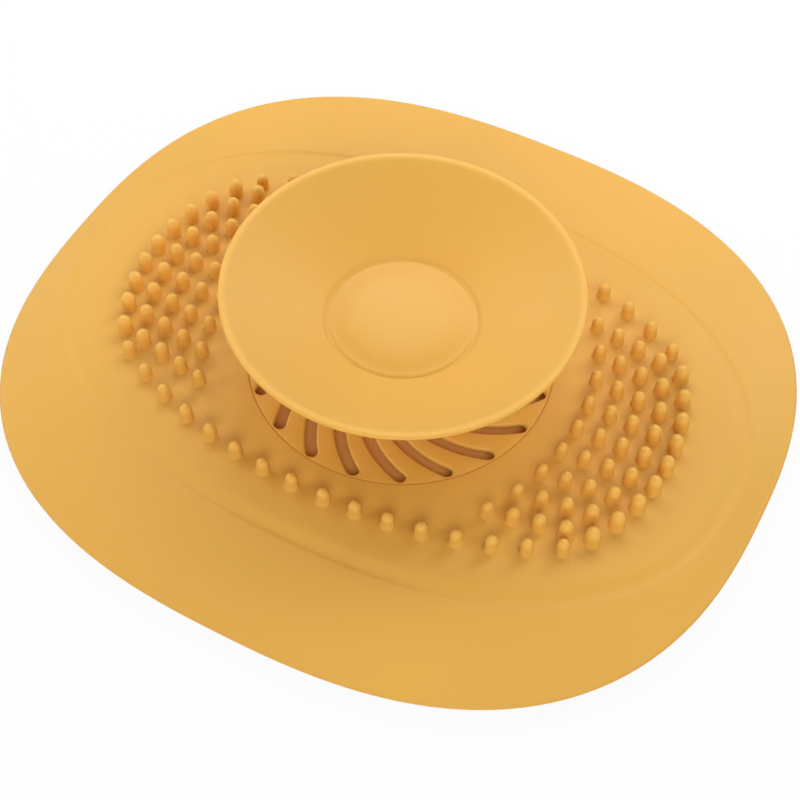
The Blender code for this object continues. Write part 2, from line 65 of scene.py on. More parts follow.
# Plate, bush and stem
GAP = 0.3 * MM                   # clearance between pieces that fit into each other
PLATE_RADIUS = 29.62 * MM        # seated a little into the mat's lip, so no gap shows
PLATE_DISH = 1.0 * MM
PLATE_THICKNESS = 1.2 * MM
PLATE_TOP = plate_low.z + PLATE_THICKNESS + PLATE_DISH
PLATE_DISH_RADIUS = 29.4 * MM
HUB_FLAT_RADIUS = 11.0 * MM
FLANGE_RADIUS = plate_high.x
FLANGE_TOP = 4.35 * MM
FLANGE_BOTTOM = 3.2 * MM
BOSS_RADIUS = 8.0 * MM
BOSS_TOP = plate_high.z
BOSS_FILLET = 0.8 * MM           # width of the fillet at the boss's foot
BOSS_FILLET_RISE = 0.1 * MM      # how far the fillet starts above the plate and ends in it
BOSS_FILLET_ROUND = 0.32 * MM
BOSS_EDGE_ROUND = 0.5 * MM
BOSS_SINK = 0.3 * MM             # how deep the boss reaches into the plate
FLANGE_OVERLAP = 0.4 * MM        # how far the flange reaches in under the plate's edge
BUSH_TOP = bush_high.z
BUSH_BOTTOM = bush_low.z
BUSH_COLLAR_RADIUS = bush_high.x
BUSH_COLLAR_BOTTOM = BOSS_TOP + GAP
BUSH_RADIUS = 4.9 * MM
HUB_BORE_RADIUS = BUSH_RADIUS + GAP
STEM_RADIUS = 3.0 * MM
STEM_TOP = stem_high.z
STEM_HEAD_THICKNESS = 0.8 * MM
STEM_HEAD_RADIUS = stem_high.x
STEM_BOTTOM = stem_low.z

# Slots of the strainer plate
SLOT_COUNT = 20
SLOT_WIDTH = 2.2 * MM
SLOT_OUTER_RADIUS = 28.0 * MM    # middle of a slot's outer round end
SLOT_INNER_RADIUS = 15.5 * MM
SLOT_SWEEP = math.radians(2.1)   # turn of a slot for each millimetre towards the hub
SLOT_FIRST_ANGLE = math.radians(9.7)
SLOT_LINE_POINTS = 14
SLOT_END_POINTS = 8
SLOT_EDGE_ROUND = 0.40 * MM
PLATE_EDGE_ROUND = 0.15 * MM
PLATE_EDGE_BAND = 0.1 * MM       # an edge this near the outline belongs to the outline
PLATE_ROUND_STEPS = 3
SHEET_EDGE_LIMIT = 3.0 * MM      # the sheet's longer edges are cut in two before it is dished
CORNER_ANGLE = math.radians(60)  # a sharper turn than this is a corner to round

# Mat
MAT_HALF_LENGTH = mat_high.x
MAT_HALF_WIDTH = mat_high.y
MAT_POWER = 2.54                 # 2 is an ellipse, more makes squarer corners
MAT_THICKNESS = 1.9 * MM
MAT_EDGE_TOP = 3.0 * MM
MAT_EDGE_BOTTOM = 2.2 * MM
MAT_EDGE_REACH = 0.7 * MM        # how far in from the outline the edge's rounding starts
MAT_RIM_BAND = 4.0 * MM
PAD_TOP = 5.2 * MM
PAD_HALF_LENGTH = 66.8 * MM
PAD_HALF_WIDTH = 44.4 * MM
PAD_POWER = 2.3
PAD_STEP = 0.45 * MM
PAD_STEP_WIDTH = 1.5 * MM
PAD_CREASE_DEPTH = 0.18 * MM     # soft crease at the foot of the pad's step
PAD_CREASE_WIDTH = 1.1 * MM
LIP_RADIUS = 29.60 * MM
LIP_TOP = 5.15 * MM
LIP_BOTTOM = FLANGE_TOP + GAP
LIP_ROUND = 0.45 * MM
GROOVE_RADIUS = FLANGE_RADIUS + GAP
GROOVE_BOTTOM = FLANGE_BOTTOM - GAP
BEAD_RADIUS = 35.0 * MM
BEAD_INNER_RADIUS = 30.6 * MM
BEAD_BOTTOM = mat_low.z
BEAD_ROUND = 0.4 * MM
FLAT_RADIUS = 33.4 * MM          # the pad's flat top starts here, outside the lip
MAT_STEPS = 180
PAD_STEP_RINGS = 6
PAD_CREASE_RINGS = 4
APRON_RINGS = 9
MAT_EDGE_RINGS = 8
LIP_RINGS = 4

# Nubs
NUB_STEPS = 14
NUB_RADIUS = 1.23 * MM           # nubs of the first columns, which are the smallest
NUB_HEIGHT = 3.35 * MM
NUB_TAPER = 0.07
NUB_CROWN = 1.25 * MM            # height of the round tip
NUB_GROWTH = 0.055               # share by which each further column's nubs are larger
NUB_FILLET = 0.25 * MM
NUB_FLAT_MARGIN = 0.1 * MM       # flat ring round a nub's fillet, where the pad's filling starts
NUB_FILLET_RINGS = 2
NUB_CROWN_RINGS = 4
FIELD_COLUMNS = 5
FIELD_ROWS = 9
FIELD_FIRST_COLUMN = 37.4 * MM
FIELD_COLUMN_PITCH = 4.53 * MM
FIELD_BOW = 42.5 * MM            # half width of the oval that the first column follows
FIELD_BOW_STEP = 1.1 * MM
FIELD_ROW_PITCH = 6.08 * MM
FIELD_ROW_PITCH_STEP = 0.23 * MM
ROW_NUBS = 16
ROW_NUB_PITCH = 6.38 * MM
ROW_HALF_LENGTH = 63.7 * MM      # oval that the front and back rows follow
ROW_HALF_WIDTH = 36.3 * MM
ROW_SIZE_COLUMN = 1              # the rows' nubs are as large as this column's, counted from 0

# Lift cup, its cap and the disc under the plate
CUP_RIM_RADIUS = cup_high.x
CUP_RIM_TOP = cup_high.z
CUP_ROLL_START = 31.9 * MM       # radius where the cup's cone starts to level out
CUP_ROLL_TOP = 33.3 * MM         # radius where it is level
CUP_RIM_WALL = 0.85 * MM
CUP_RIM_TOP_ROUND = 0.35 * MM
CUP_RIM_BOTTOM_ROUND = 0.45 * MM
CUP_ROLL_STEPS = 5
CUP_BOTTOM = cup_low.z
CUP_FOOT_RADIUS = 9.6 * MM
CUP_FOOT_SLANT = 0.6 * MM        # size of the slant between the foot and the cup's underside
CUP_UNDERSIDE_ROUND = 0.8 * MM
CUP_WELL_RADIUS = 14.15 * MM
CUP_WELL_FLOOR = 14.6 * MM
CUP_WELL_TOP = 16.9 * MM
CUP_WALL = 2.0 * MM
CAP_RADIUS = 14.18 * MM          # seated a little into the well's wall, so no gap shows
CAP_BOTTOM = STEM_TOP + GAP
CAP_CROWN = 1.1 * MM
CAP_DOME_POWER = 3               # a higher power makes a flatter dome with a steeper edge
CAP_DOME_RINGS = 12
CAP_EDGE_WIDTH = 1.2 * MM
CAP_EDGE_TURN = math.radians(65)  # part of a quarter round that the cap's edge makes
CAP_EDGE_RINGS = 6
CREASE_DROP = 0.24 * MM          # depth of the soft crease between the cap and the cup
CREASE_FLOOR = 0.3 * MM          # width of the crease's flat floor, on the cup's side
CREASE_WIDTH = 0.85 * MM         # width of the whole crease on that side
CREASE_FLOOR_ROUND = 0.18 * MM
DISC_RADIUS = 26.5 * MM
DISC_TOP = plate_low.z - GAP
DISC_THICKNESS = 1.1 * MM
DISC_LIP_DROP = 0.9 * MM
DISC_LIP_WIDTH = 1.6 * MM
DISC_LIP_FLARE = 0.6 * MM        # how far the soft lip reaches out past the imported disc's
DISC_LIP_EDGE = 0.4 * MM
DISC_SHOULDER_REACH = 2.5 * MM   # how far out the disc's round shoulder reaches
DISC_SHOULDER_DROP = 0.4 * MM
DISC_HUB_RADIUS = 6.0 * MM
DISC_HUB_BOTTOM = disc_low.z
DISC_POCKET_RADIUS = 3.5 * MM
DISC_POCKET_TOP = 1.6 * MM
DISC_BORE_RADIUS = 1.4 * MM

# Fineness and corners of the turned pieces
TURN_STEPS = 144
SMALL_TURN_STEPS = 64
ROUND_STEPS = 4
FINE_ROUND = 0.1 * MM
SLIGHT_ROUND = 0.15 * MM
SMALL_ROUND = 0.2 * MM
SOFT_ROUND = 0.3 * MM
SHOULDER_ROUND = 0.35 * MM
FULL_ROUND = 0.4 * MM
MERGE_DISTANCE = 0.002 * MM
CORNER_REACH = 0.003 * MM        # a point this near a section's corner belongs to it
SHARP_ANGLE = math.radians(50)
ARC_STEP = 0.002                 # step, in radians, when measuring along an oval

# Camera, as found from the photograph
VIEW_AZIMUTH = math.radians(26.644)
VIEW_ELEVATION = math.radians(54.024)
VIEW_ROLL = math.radians(1.832)
VIEW_DISTANCE = 9.4027 * CUP_RIM_RADIUS
VIEW_AIM = Vector((0.1417 * CUP_RIM_RADIUS, -0.2772 * CUP_RIM_RADIUS, PLATE_TOP))
PHOTO_SIDE = 800.0               # pixels
FOCAL_PIXELS = 1681.3
SENSOR = 36.0                    # millimetres
CLIP_NEAR = 0.01
CLIP_FAR = 20.0

# Colours, linear
SILICONE = (0.800, 0.434, 0.076)
PLASTIC = (0.790, 0.425, 0.074)
# darker and browner than the mat: partly the disc's own browner tone, partly painted shade for the depth
# of the slots
DISC_BROWN_SHADED = (0.680, 0.350, 0.100)
STEEL = (0.62, 0.61, 0.59)
PAPER = (0.86, 0.86, 0.86)
WHITE = (1.0, 1.0, 1.0)

# Strength of each light, in watts, and of the world
BACK_LOW_POWER = 0.23
BACK_HIGH_POWER = 0.24
BACK_NEAR_RIGHT_POWER = 0.34
BACK_LEFT_POWER = 1.55
BACK_RIGHT_POWER = 0.75
LEFT_POWER = 1.60
RIGHT_HIGH_POWER = 0.45
FRONT_POWER = 2.95
FRONT_RIGHT_POWER = 1.00
WORLD_LIGHT = 0.01

SMALL_SOFTBOX = 0.20             # sides of the square lamps
SOFTBOX = 0.35
LARGE_SOFTBOX = 0.50

# Floor
FLOOR_HALF = 4.0
FLOOR_DROP = 0.02 * MM           # the floor lies this much under the part
FLOOR_WHITE = 0.93               # share of plain white where the camera sees the floor
SHADE_START = 0.84               # shares of the mat's outline between which the floor
SHADE_END = 0.93                 # under the mat turns white

# Turned steel
STEEL_RING_SCALE = 1400.0
STEEL_RING_WAVER = 1.5
STEEL_SCUFF_SCALE = 700.0
STEEL_SCUFF_SHARE = 0.8          # how bright the scuffed steel is beside the clean steel
STEEL_SMOOTHEST = 0.22           # roughness where it is clean
STEEL_ROUGHEST = 0.42
STEEL_BUMP = 0.3
STEEL_BUMP_DEPTH = 0.01 * MM

# Moulded silicone and plastic
CLOUD_SCALE = 38.0
SPECK_SCALE = 2400.0
GRAIN_SCALE = 5200.0
RIPPLE_SCALE = 260.0
SPECK_TINT = 0.02                # how far specks lighten or darken the colour
SPECK_ROUGHNESS = 0.05
RIPPLE_ROUGHNESS = 0.06
RIPPLE_HEIGHT = 0.8              # height of the ripple beside the grain's
BUMP_DEPTH = 0.02 * MM
MOULDED_IOR = 1.42
MOULDED_SPECULAR = 0.42
LIGHT_REACH = (1.0, 0.75, 0.45)  # how far red, green and blue light spread inside
LIGHT_REACH_SCALE = 1.2 * MM
EDGE_POLISH = 0.12               # how much smoother silicone is in the bands of painted highlight
RIM_HIGHLIGHT_START = 32.4 * MM       # radii between which a highlight is painted on the cup's rim
RIM_HIGHLIGHT_END = 33.3 * MM
TIP_HIGHLIGHT_START = PAD_TOP + 2.0 * MM  # heights between which a highlight is painted on a nub's tip
TIP_HIGHLIGHT_END = PAD_TOP + 3.6 * MM


def clean(bm):
    """Merges doubled points and turns all faces outwards."""
    bmesh.ops.remove_doubles(bm, verts=bm.verts, dist=MERGE_DISTANCE)
    bmesh.ops.recalc_face_normals(bm, faces=bm.faces)


def as_mesh(bm, name):
    """Turns a finished bmesh into a mesh and frees it."""
    mesh = bpy.data.meshes.new(name)
    bm.to_mesh(mesh)
    bm.free()
    return mesh


def add_piece(name, bm, material, body, node):
    """Makes an object of a finished shape, in the place of one CAD node."""
    mesh = as_mesh(bm, name)
    mesh.shade_smooth()
    mesh.set_sharp_from_angle(angle=SHARP_ANGLE)
    mesh.materials.append(material)
    piece = bpy.data.objects.new(name, mesh)
    bpy.context.scene.collection.objects.link(piece)
    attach(piece, body)
    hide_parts(node)


def at_corner(vert, radius, height):
    """Tells if a point lies on the ring that a section's corner makes."""
    near_radius = abs(math.hypot(vert.co.x, vert.co.y) - radius) < CORNER_REACH
    near_height = abs(vert.co.z - height) < CORNER_REACH
    return near_radius and near_height


def spun(corners, closed=True, steps=TURN_STEPS):
    """A turned shape from its section's corners, each given as radius, height and rounding."""
    bm = bmesh.new()
    verts = [bm.verts.new((radius, 0.0, height)) for radius, height, rounding in corners]
    edges = [bm.edges.new(pair) for pair in zip(verts, verts[1:])]
    if closed:
        edges.append(bm.edges.new((verts[-1], verts[0])))
    bmesh.ops.spin(
        bm, geom=verts + edges, cent=(0.0, 0.0, 0.0), axis=(0.0, 0.0, 1.0), dvec=(0.0, 0.0, 0.0),
        angle=FULL_TURN, steps=steps, use_merge=True, use_duplicate=False)
    clean(bm)
    for radius, height, rounding in corners:
        if rounding == 0.0:
            continue
        ring = [
            edge for edge in bm.edges
            if all(at_corner(vert, radius, height) for vert in edge.verts)]
        bmesh.ops.bevel(
            bm, geom=ring, offset=rounding, offset_type="OFFSET", segments=ROUND_STEPS, profile=0.5,
            affect="EDGES", material=-1, clamp_overlap=True)
    return bm


def oval_radius(angle, half_length, half_width, power):
    """Distance from the middle to a rounded-square or oval outline, in one direction."""
    along = abs(math.cos(angle) / half_length) ** power
    across = abs(math.sin(angle) / half_width) ** power
    return (along + across) ** (-1.0 / power)


def place_ring(verts, outline):
    """Moves a ring of points out to an outline: half length, half width, power and height."""
    half_length, half_width, power, height = outline
    for vert in verts:
        angle = math.atan2(vert.co.y, vert.co.x)
        radius = oval_radius(angle, half_length, half_width, power)
        vert.co = (radius * math.cos(angle), radius * math.sin(angle), height)


def edges_of(verts):
    """The edges that meet some points, each once and always in the same order."""
    return list(dict.fromkeys(edge for vert in verts for edge in vert.link_edges))


def next_ring(bm, edges):
    """Extrudes a ring of edges and gives the new ring's edges and points."""
    made = bmesh.ops.extrude_edge_only(bm, edges=edges)["geom"]
    verts = [item for item in made if isinstance(item, bmesh.types.BMVert)]
    fresh = set(verts)
    new_edges = [item for item in made if isinstance(item, bmesh.types.BMEdge)]
    ring = [edge for edge in new_edges if fresh.issuperset(edge.verts)]
    return ring, verts


def nub_size(column):
    """How large a column's nubs are beside the first column's."""
    return 1.0 + NUB_GROWTH * column


def nub_rings(size):
    """Rings of one nub, from the flat round its foot up over its round tip: radius and height."""
    foot = size * NUB_RADIUS
    shoulder = foot * (1.0 - NUB_TAPER)
    height = size * NUB_HEIGHT
    crown = size * NUB_CROWN
    rings = [(foot + NUB_FILLET, 0.0)]
    for step in range(1, NUB_FILLET_RINGS + 1):
        turn = QUARTER_TURN * step / NUB_FILLET_RINGS
        reach = foot + NUB_FILLET * (1.0 - math.sin(turn))
        rings.append((reach, NUB_FILLET * (1.0 - math.cos(turn))))
    for step in range(NUB_CROWN_RINGS):
        turn = QUARTER_TURN * step / NUB_CROWN_RINGS
        rings.append((shoulder * math.cos(turn), height - crown * (1.0 - math.sin(turn))))
    return rings


def nub_shape(size):
    """One nub, open at its foot, standing on the origin."""
    bm = bmesh.new()
    flat_radius = size * NUB_RADIUS + NUB_FILLET + NUB_FLAT_MARGIN
    bmesh.ops.create_circle(bm, segments=NUB_STEPS, radius=flat_radius)
    edges = list(bm.edges)
    for radius, height in nub_rings(size):
        edges, verts = next_ring(bm, edges)
        for vert in verts:
            angle = math.atan2(vert.co.y, vert.co.x)
            vert.co = (radius * math.cos(angle), radius * math.sin(angle), height)
    tip = bmesh.ops.edgeloop_fill(bm, edges=edges)["faces"]
    middle = bmesh.ops.poke(bm, faces=tip)["verts"][0]
    middle.co.z = size * NUB_HEIGHT
    return as_mesh(bm, "nub")


def field_places():
    """Places and sizes of the two fields' nubs: bowed columns, symmetric about both axes."""
    half_rows = FIELD_ROWS // 2
    places = []
    for column in range(FIELD_COLUMNS):
        reach = FIELD_FIRST_COLUMN + column * FIELD_COLUMN_PITCH
        bow = FIELD_BOW + column * FIELD_BOW_STEP
        pitch = FIELD_ROW_PITCH - column * FIELD_ROW_PITCH_STEP
        for row in range(-half_rows, half_rows + 1):
            across = row * pitch
            along = reach * math.sqrt(1.0 - (across / bow) ** 2)
            places.append((along, across, nub_size(column)))
            places.append((-along, across, nub_size(column)))
    return places


def row_places():
    """Places and sizes of the front and back rows' nubs: equal steps along an oval."""
    size = nub_size(ROW_SIZE_COLUMN)
    places = []
    angle = 0.0
    run = 0.0
    for index in range(ROW_NUBS // 2):
        while run < (index + 0.5) * ROW_NUB_PITCH:
            angle += ARC_STEP
            stride = math.hypot(ROW_HALF_LENGTH * math.cos(angle), ROW_HALF_WIDTH * math.sin(angle))
            run += ARC_STEP * stride
        along = ROW_HALF_LENGTH * math.sin(angle)
        across = ROW_HALF_WIDTH * math.cos(angle)
        for side in (-1.0, 1.0):
            places.append((side * along, across, size))
            places.append((side * along, -across, size))
    return places


def mat_outlines():
    """Rings of the mat's skin, from the pad's edge outwards, under the mat and back to the lip."""
    def circle(radius, height):
        return radius, radius, 2.0, height

    def pad(grow, height):
        return PAD_HALF_LENGTH + grow, PAD_HALF_WIDTH + grow, PAD_POWER, height

    def between(share, height):
        """An outline on the apron: 0 is at the crease, 1 is where the mat's edge starts to turn."""
        foot = PAD_STEP_WIDTH + PAD_CREASE_WIDTH
        inner = PAD_HALF_LENGTH + foot, PAD_HALF_WIDTH + foot, PAD_POWER
        outer = MAT_HALF_LENGTH - MAT_EDGE_REACH, MAT_HALF_WIDTH - MAT_EDGE_REACH, MAT_POWER
        mixed = [near + (far - near) * share for near, far in zip(inner, outer)]
        return (*mixed, height)

    def outline(inset, height):
        return MAT_HALF_LENGTH - inset, MAT_HALF_WIDTH - inset, MAT_POWER, height

    def ease(share):
        return share * share * (3.0 - 2.0 * share)

    step_foot = PAD_TOP - PAD_STEP
    rings = []
    for index in range(1, PAD_STEP_RINGS + 1):
        share = index / PAD_STEP_RINGS
        drop = (PAD_STEP + PAD_CREASE_DEPTH) * ease(share)
        rings.append(pad(PAD_STEP_WIDTH * (2.0 * share - 1.0), PAD_TOP - drop))
    for index in range(1, PAD_CREASE_RINGS + 1):
        share = index / PAD_CREASE_RINGS
        drop = PAD_CREASE_DEPTH * (1.0 - ease(share))
        rings.append(pad(PAD_STEP_WIDTH + PAD_CREASE_WIDTH * share, step_foot - drop))
    fall = step_foot - MAT_EDGE_TOP
    for index in range(1, APRON_RINGS):
        share = index / APRON_RINGS
        rings.append(between(share, step_foot - fall * share))
    half = 0.5 * (MAT_EDGE_TOP - MAT_EDGE_BOTTOM)
    for index in range(MAT_EDGE_RINGS + 1):
        turn = math.pi * index / MAT_EDGE_RINGS
        inset = MAT_EDGE_REACH * (1.0 - math.sin(turn))
        rings.append(outline(inset, MAT_EDGE_BOTTOM + half * (1.0 + math.cos(turn))))
    rings += [
        outline(MAT_RIM_BAND, MAT_EDGE_BOTTOM),
        pad(PAD_STEP_WIDTH, step_foot - MAT_THICKNESS),
        circle(BEAD_RADIUS + BEAD_ROUND, PAD_TOP - MAT_THICKNESS),
        circle(BEAD_RADIUS, PAD_TOP - MAT_THICKNESS - BEAD_ROUND),
        circle(BEAD_RADIUS, BEAD_BOTTOM + BEAD_ROUND),
        circle(BEAD_RADIUS - BEAD_ROUND, BEAD_BOTTOM),
        circle(BEAD_INNER_RADIUS + BEAD_ROUND, BEAD_BOTTOM),
        circle(BEAD_INNER_RADIUS, BEAD_BOTTOM + BEAD_ROUND),
        circle(BEAD_INNER_RADIUS, GROOVE_BOTTOM),
        circle(GROOVE_RADIUS, GROOVE_BOTTOM),
        circle(GROOVE_RADIUS, LIP_BOTTOM),
        circle(LIP_RADIUS, LIP_BOTTOM),
        circle(LIP_RADIUS, LIP_TOP - LIP_ROUND),
    ]
    for index in range(1, LIP_RINGS + 1):
        turn = QUARTER_TURN * index / LIP_RINGS
        radius = LIP_RADIUS + LIP_ROUND * (1.0 - math.cos(turn))
        rings.append(circle(radius, LIP_TOP - LIP_ROUND * (1.0 - math.sin(turn))))
    rings.append(circle(FLAT_RADIUS, PAD_TOP))
    return rings


def build_mat(material):
    """The whole mat as one skin: the flat pad is filled between its nubs, then carried round."""
    bm = bmesh.new()
    sizes = {nub_size(column): nub_shape(nub_size(column)) for column in range(FIELD_COLUMNS)}
    for along, across, size in field_places() + row_places():
        first = len(bm.verts)
        bm.from_mesh(sizes[size])
        bm.verts.ensure_lookup_table()
        bmesh.ops.translate(bm, verts=bm.verts[first:], vec=(along, across, PAD_TOP))
    feet = [edge for edge in bm.edges if edge.is_boundary]
    inner = bmesh.ops.create_circle(bm, segments=MAT_STEPS, radius=FLAT_RADIUS)["verts"]
    place_ring(inner, (FLAT_RADIUS, FLAT_RADIUS, 2.0, PAD_TOP))
    inner_edges = edges_of(inner)
    outer = bmesh.ops.create_circle(bm, segments=MAT_STEPS, radius=BEAD_RADIUS)["verts"]
    pad_edge = PAD_HALF_LENGTH - PAD_STEP_WIDTH, PAD_HALF_WIDTH - PAD_STEP_WIDTH, PAD_POWER, PAD_TOP
    place_ring(outer, pad_edge)
    ring = edges_of(outer)
    bmesh.ops.triangle_fill(
        bm, edges=feet + inner_edges + ring, use_beauty=True, use_dissolve=False, normal=(0.0, 0.0, 1.0))
    for outline in mat_outlines():
        ring, verts = next_ring(bm, ring)
        place_ring(verts, outline)
    clean(bm)
    add_piece("soft_mat", bm, material, "base", "mat")


def plate_drop(radius):
    """How far the dished plate lies below its edge, at a distance from the axis."""
    share = (radius - HUB_FLAT_RADIUS) / (PLATE_DISH_RADIUS - HUB_FLAT_RADIUS)
    return PLATE_DISH * (1.0 - min(max(share, 0.0), 1.0))


def slot_outline(first_angle):
    """One curved slot seen from above: two sides along a spiral and two round ends."""
    half = 0.5 * SLOT_WIDTH
    line = []
    for index in range(SLOT_LINE_POINTS):
        share = index / (SLOT_LINE_POINTS - 1)
        radius = SLOT_OUTER_RADIUS + (SLOT_INNER_RADIUS - SLOT_OUTER_RADIUS) * share
        angle = first_angle - SLOT_SWEEP * (SLOT_OUTER_RADIUS - radius) / MM
        line.append(Vector((radius * math.cos(angle), radius * math.sin(angle), 0.0)))
    headings = []
    for index in range(SLOT_LINE_POINTS):
        way = line[min(index + 1, SLOT_LINE_POINTS - 1)] - line[max(index - 1, 0)]
        headings.append(math.atan2(way.y, way.x))

    def beside(index, turn):
        direction = headings[index] + turn
        return line[index] + half * Vector((math.cos(direction), math.sin(direction), 0.0))

    last = SLOT_LINE_POINTS - 1
    end_turns = [math.pi * step / SLOT_END_POINTS for step in range(1, SLOT_END_POINTS)]
    points = [beside(index, QUARTER_TURN) for index in range(SLOT_LINE_POINTS)]
    points += [beside(last, QUARTER_TURN - turn) for turn in end_turns]
    points += [beside(index, -QUARTER_TURN) for index in reversed(range(SLOT_LINE_POINTS))]
    points += [beside(0, -QUARTER_TURN - turn) for turn in end_turns]
    return points


def edge_loop(bm, points):
    """A closed loop of edges through a few points."""
    verts = [bm.verts.new(point) for point in points]
    return [bm.edges.new(pair) for pair in zip(verts, verts[1:] + verts[:1])]


def circle_edges(bm, radius):
    """The edges of a new circle round the axis."""
    verts = bmesh.ops.create_circle(bm, segments=TURN_STEPS, radius=radius)["verts"]
    return edges_of(verts)


def on_plate_outline(edge):
    """Tells if an edge lies on the plate's outline, and not at a slot or the bore."""
    return min(vert.co.xy.length for vert in edge.verts) > PLATE_RADIUS - PLATE_EDGE_BAND


def build_plate(material):
    """The slotted plate: a flat sheet with its slots is thickened, rounded and then dished."""
    bm = bmesh.new()
    edges = circle_edges(bm, PLATE_RADIUS) + circle_edges(bm, HUB_BORE_RADIUS)
    for index in range(SLOT_COUNT):
        edges += edge_loop(bm, slot_outline(SLOT_FIRST_ANGLE + FULL_TURN * index / SLOT_COUNT))
    bmesh.ops.triangle_fill(
        bm, edges=edges, use_beauty=True, use_dissolve=False, normal=(0.0, 0.0, 1.0))
    long_edges = [edge for edge in bm.edges if edge.calc_length() > SHEET_EDGE_LIMIT]
    bmesh.ops.subdivide_edges(bm, edges=long_edges, cuts=1, use_grid_fill=True)
    bmesh.ops.triangulate(bm, faces=bm.faces)
    raised = bmesh.ops.extrude_face_region(bm, geom=list(bm.faces))["geom"]
    lifted = [item for item in raised if isinstance(item, bmesh.types.BMVert)]
    bmesh.ops.translate(bm, verts=lifted, vec=(0.0, 0.0, PLATE_THICKNESS))
    bmesh.ops.recalc_face_normals(bm, faces=bm.faces)
    corners = [edge for edge in bm.edges if edge.calc_face_angle(0.0) > CORNER_ANGLE]
    outer = [edge for edge in corners if on_plate_outline(edge)]
    inner = [edge for edge in corners if not on_plate_outline(edge)]
    for edges, rounding in ((inner, SLOT_EDGE_ROUND), (outer, PLATE_EDGE_ROUND)):
        bmesh.ops.bevel(
            bm, geom=edges, offset=rounding, offset_type="OFFSET", segments=PLATE_ROUND_STEPS,
            profile=0.5, affect="EDGES", material=-1, clamp_overlap=True)
    for vert in bm.verts:
        vert.co.z += PLATE_TOP - PLATE_THICKNESS - plate_drop(math.hypot(vert.co.x, vert.co.y))
    for part in (boss_ring(), flange_ring()):
        bm.from_mesh(part)
    add_piece("slotted_plate", bm, material, "base", "strainer_plate")


def boss_ring():
    """The boss round the bush, with a fillet at its foot."""
    hub_top = PLATE_TOP - PLATE_DISH
    return as_mesh(spun([
        (HUB_BORE_RADIUS, BOSS_TOP, SMALL_ROUND),
        (BOSS_RADIUS, BOSS_TOP, BOSS_EDGE_ROUND),
        (BOSS_RADIUS, hub_top + BOSS_FILLET_RISE, BOSS_FILLET_ROUND),
        (BOSS_RADIUS + BOSS_FILLET, hub_top - BOSS_FILLET_RISE, 0.0),
        (BOSS_RADIUS + BOSS_FILLET, hub_top - BOSS_SINK, 0.0),
        (HUB_BORE_RADIUS, hub_top - BOSS_SINK, 0.0),
    ]), "boss_ring")


def flange_ring():
    """The hidden flange that sits in the mat's groove."""
    return as_mesh(spun([
        (PLATE_RADIUS - FLANGE_OVERLAP, FLANGE_TOP, 0.0),
        (FLANGE_RADIUS, FLANGE_TOP, SMALL_ROUND),
        (FLANGE_RADIUS, FLANGE_BOTTOM, SMALL_ROUND),
        (PLATE_RADIUS - FLANGE_OVERLAP, FLANGE_BOTTOM, 0.0),
    ]), "flange_ring")


def build_cup(material):
    """The lift cup: a cone that levels out at its rolled rim, with a well for the cap."""
    roll_width = CUP_ROLL_TOP - CUP_ROLL_START
    slope = (CUP_RIM_TOP - CUP_WELL_TOP) / (CUP_ROLL_START - CUP_WELL_RADIUS + 0.5 * roll_width)
    roll = []
    for index in range(CUP_ROLL_STEPS + 1):
        share = index / CUP_ROLL_STEPS
        drop = 0.5 * slope * roll_width * (1.0 - share) ** 2
        roll.append((CUP_ROLL_START + roll_width * share, CUP_RIM_TOP - drop, 0.0))
    bm = spun([
        (STEM_RADIUS + GAP, CUP_WELL_FLOOR, FINE_ROUND),
        (CUP_WELL_RADIUS, CUP_WELL_FLOOR, 0.0),
        (CUP_WELL_RADIUS, CUP_WELL_TOP - CREASE_DROP, 0.0),
        (CUP_WELL_RADIUS + CREASE_FLOOR, CUP_WELL_TOP - CREASE_DROP, CREASE_FLOOR_ROUND),
        (CUP_WELL_RADIUS + CREASE_WIDTH, CUP_WELL_TOP + slope * CREASE_WIDTH, SOFT_ROUND),
        *roll,
        (CUP_RIM_RADIUS, CUP_RIM_TOP, CUP_RIM_TOP_ROUND),
        (CUP_RIM_RADIUS, CUP_RIM_TOP - CUP_RIM_WALL, CUP_RIM_BOTTOM_ROUND),
        (CUP_WELL_RADIUS, CUP_WELL_TOP - CUP_WALL, CUP_UNDERSIDE_ROUND),
        (CUP_FOOT_RADIUS, CUP_BOTTOM + CUP_FOOT_SLANT, SOFT_ROUND),
        (CUP_FOOT_RADIUS - CUP_FOOT_SLANT, CUP_BOTTOM, SMALL_ROUND),
        (STEM_RADIUS + GAP, CUP_BOTTOM, FINE_ROUND),
    ])
    add_piece("soft_lift_cup", bm, material, "lift", "lift_cup")


def build_cap(material):
    """The low domed cap in the cup's middle, with a soft edge."""
    dome_radius = CAP_RADIUS - CAP_EDGE_WIDTH
    corners = []
    for index in range(CAP_DOME_RINGS):
        share = index / CAP_DOME_RINGS
        rise = CAP_CROWN * (1.0 - share ** CAP_DOME_POWER)
        corners.append((dome_radius * share, CUP_WELL_TOP + rise, 0.0))
    for index in range(CAP_EDGE_RINGS + 1):
        turn = CAP_EDGE_TURN * index / CAP_EDGE_RINGS
        reach = CAP_EDGE_WIDTH * math.sin(turn) / math.sin(CAP_EDGE_TURN)
        drop = CREASE_DROP * (1.0 - math.cos(turn)) / (1.0 - math.cos(CAP_EDGE_TURN))
        corners.append((dome_radius + reach, CUP_WELL_TOP - drop, 0.0))
    corners.append((CAP_RADIUS, CAP_BOTTOM, FINE_ROUND))
    corners.append((0.0, CAP_BOTTOM, 0.0))
    bm = spun(corners, closed=False)
    add_piece("domed_cap", bm, material, "lift", "cup_cap")


